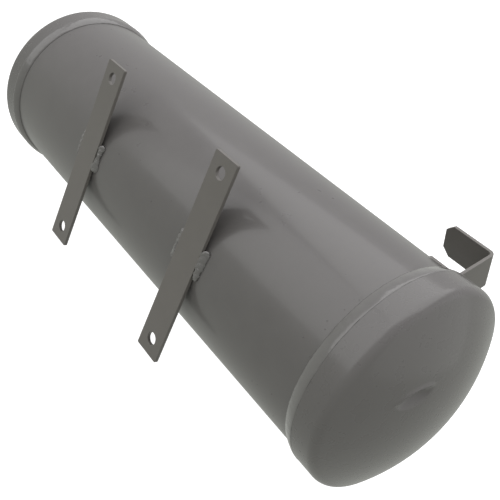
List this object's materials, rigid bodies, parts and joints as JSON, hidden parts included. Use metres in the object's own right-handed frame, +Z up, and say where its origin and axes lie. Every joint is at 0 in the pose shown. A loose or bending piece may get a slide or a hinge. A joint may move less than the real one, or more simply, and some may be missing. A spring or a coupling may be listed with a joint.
{
  "type": "hydraulic reservoir",
  "caption": "Horizontal cylindrical hydraulic oil tank with dished ends, side mounting straps, a hook bracket, a breathing filler cap, threaded ports and a drain plug.",
  "frame": {"origin": "centre of the four strap holes, on the straps' mounting faces", "axes": "+X along the tank towards the cap near the hook bracket, -Y out of the mounting faces, +Z up"},
  "size_m": [0.7038, 0.2438, 0.2267],
  "materials": {
    "grey_paint": "semi-gloss grey paint",
    "weld_paint": "semi-gloss grey paint over a rippled weld bead",
    "bare_steel": "oiled mill steel",
    "bright_steel": "bright plated steel",
    "strainer_mesh": "woven wire cloth",
    "zinc": "zinc plate",
    "copper": "annealed copper",
    "gasket_rubber": "matt nitrile rubber",
    "breather_foam": "open-cell filter foam",
    "magnet": "sintered magnet"
  },
  "bodies": {
    "tank": {"shell_tube": "grey_paint", "near_end_cap": "grey_paint", "far_end_cap": "grey_paint", "near_cap_weld": "weld_paint", "far_cap_weld": "weld_paint", "far_mounting_strap": "grey_paint", "near_mounting_strap": "grey_paint", "far_strap_welds": "weld_paint", "near_strap_welds": "weld_paint", "hook_bracket": "grey_paint", "hook_bracket_welds": "weld_paint", "filler_neck": "grey_paint", "filler_neck_weld": "weld_paint", "filler_screen": "bright_steel", "suction_port": "grey_paint", "suction_port_weld": "weld_paint", "return_port": "grey_paint", "return_port_weld": "weld_paint", "suction_strainer_head": "bright_steel", "suction_strainer_mesh": "strainer_mesh", "suction_strainer_end": "bright_steel", "return_tube": "bare_steel", "baffle_plate": "bare_steel", "drain_socket": "grey_paint", "drain_socket_weld": "weld_paint"},
    "cap_seal": {"filler_cap_gasket": "gasket_rubber"},
    "cap": {"filler_cap": "zinc", "breather_element": "breather_foam", "dipstick": "bright_steel"},
    "plug_seal": {"drain_washer": "copper"},
    "plug": {"drain_plug": "zinc", "drain_magnet": "magnet"}
  },
  "joints": [
    {"name": "filler_cap_lift", "type": "slide", "parent": "tank", "child": "cap_seal", "axis": [0, 0.9272, 0.3746], "range_m": [0, 0.18]},
    {"name": "filler_cap_turn", "type": "hinge", "parent": "cap_seal", "child": "cap", "pos_m": [-0.04, 0.21314, 0.04353], "axis": [0, 0.9272, 0.3746], "range_deg": [0, 900]},
    {"name": "drain_plug_drop", "type": "slide", "parent": "tank", "child": "plug_seal", "axis": [0, 0, -1], "range_m": [0, 0.03]},
    {"name": "drain_plug_turn", "type": "hinge", "parent": "plug_seal", "child": "plug", "pos_m": [-0.15, 0.1054, -0.1115], "axis": [0, 0, -1], "range_deg": [0, 1980]}
  ]
}
